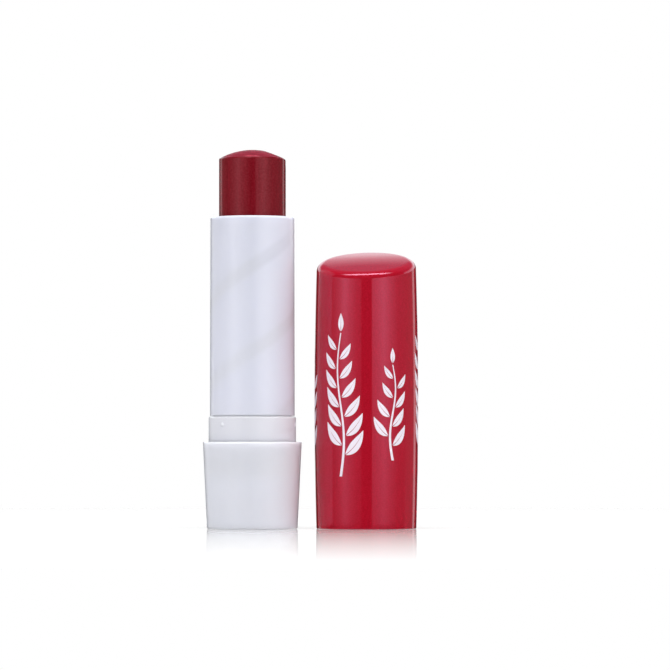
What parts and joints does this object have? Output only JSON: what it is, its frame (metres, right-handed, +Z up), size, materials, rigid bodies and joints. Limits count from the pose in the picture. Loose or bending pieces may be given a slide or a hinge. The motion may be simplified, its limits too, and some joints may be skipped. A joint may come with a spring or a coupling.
{
  "type": "lip balm stick",
  "caption": "Twist-up lip balm stick: tapered base, snap collar, barrel with inner spiral grooves, slotted guide tube, lugged cup, domed balm, and a slant-topped cap standing beside it.",
  "frame": {"origin": "centre of the foot of the twist base, on the surface that the stick stands on", "axes": "+Z up along the axis of the stick, towards the balm; -Y is the front that the picture shows; +X towards the cap, which stands beside the stick"},
  "size_m": [0.0409, 0.0196, 0.072],
  "materials": {
    "white_base": "smooth moulded polypropylene, satin gloss",
    "white_guide": "smooth moulded polypropylene, satin gloss",
    "white_barrel": "smooth moulded polypropylene, slightly translucent",
    "natural_cup": "moulded polypropylene, as moulded",
    "tinted_wax": "cast tinted wax, soft gloss with faint streaks",
    "red_cap": "glossy moulded polypropylene"
  },
  "bodies": {
    "base": {"twist_base": "white_base", "guide_tube": "white_guide"},
    "barrel": {"barrel": "white_barrel"},
    "carrier": {"carrier_cup": "natural_cup", "balm": "tinted_wax"},
    "cap": {"cap": "red_cap"}
  },
  "joints": [
    {"name": "barrel_twist", "type": "hinge", "parent": "base", "child": "barrel", "pos_m": [0, 0, 0.0404], "axis": [0, 0, 1], "range_deg": [-110.8, 157.5]},
    {"name": "carrier_slide", "type": "slide", "parent": "base", "child": "carrier", "axis": [0, 0, 1], "range_m": [-0.014, 0.00985]},
    {"name": "cap_lift", "type": "slide", "parent": "base", "child": "cap", "axis": [0, 0, 1], "range_m": [0, 0.0427]}
  ],
  "couplings": [
    {"joint": "carrier_slide", "follows": "barrel_twist", "m_per_rad": -0.005093}
  ]
}
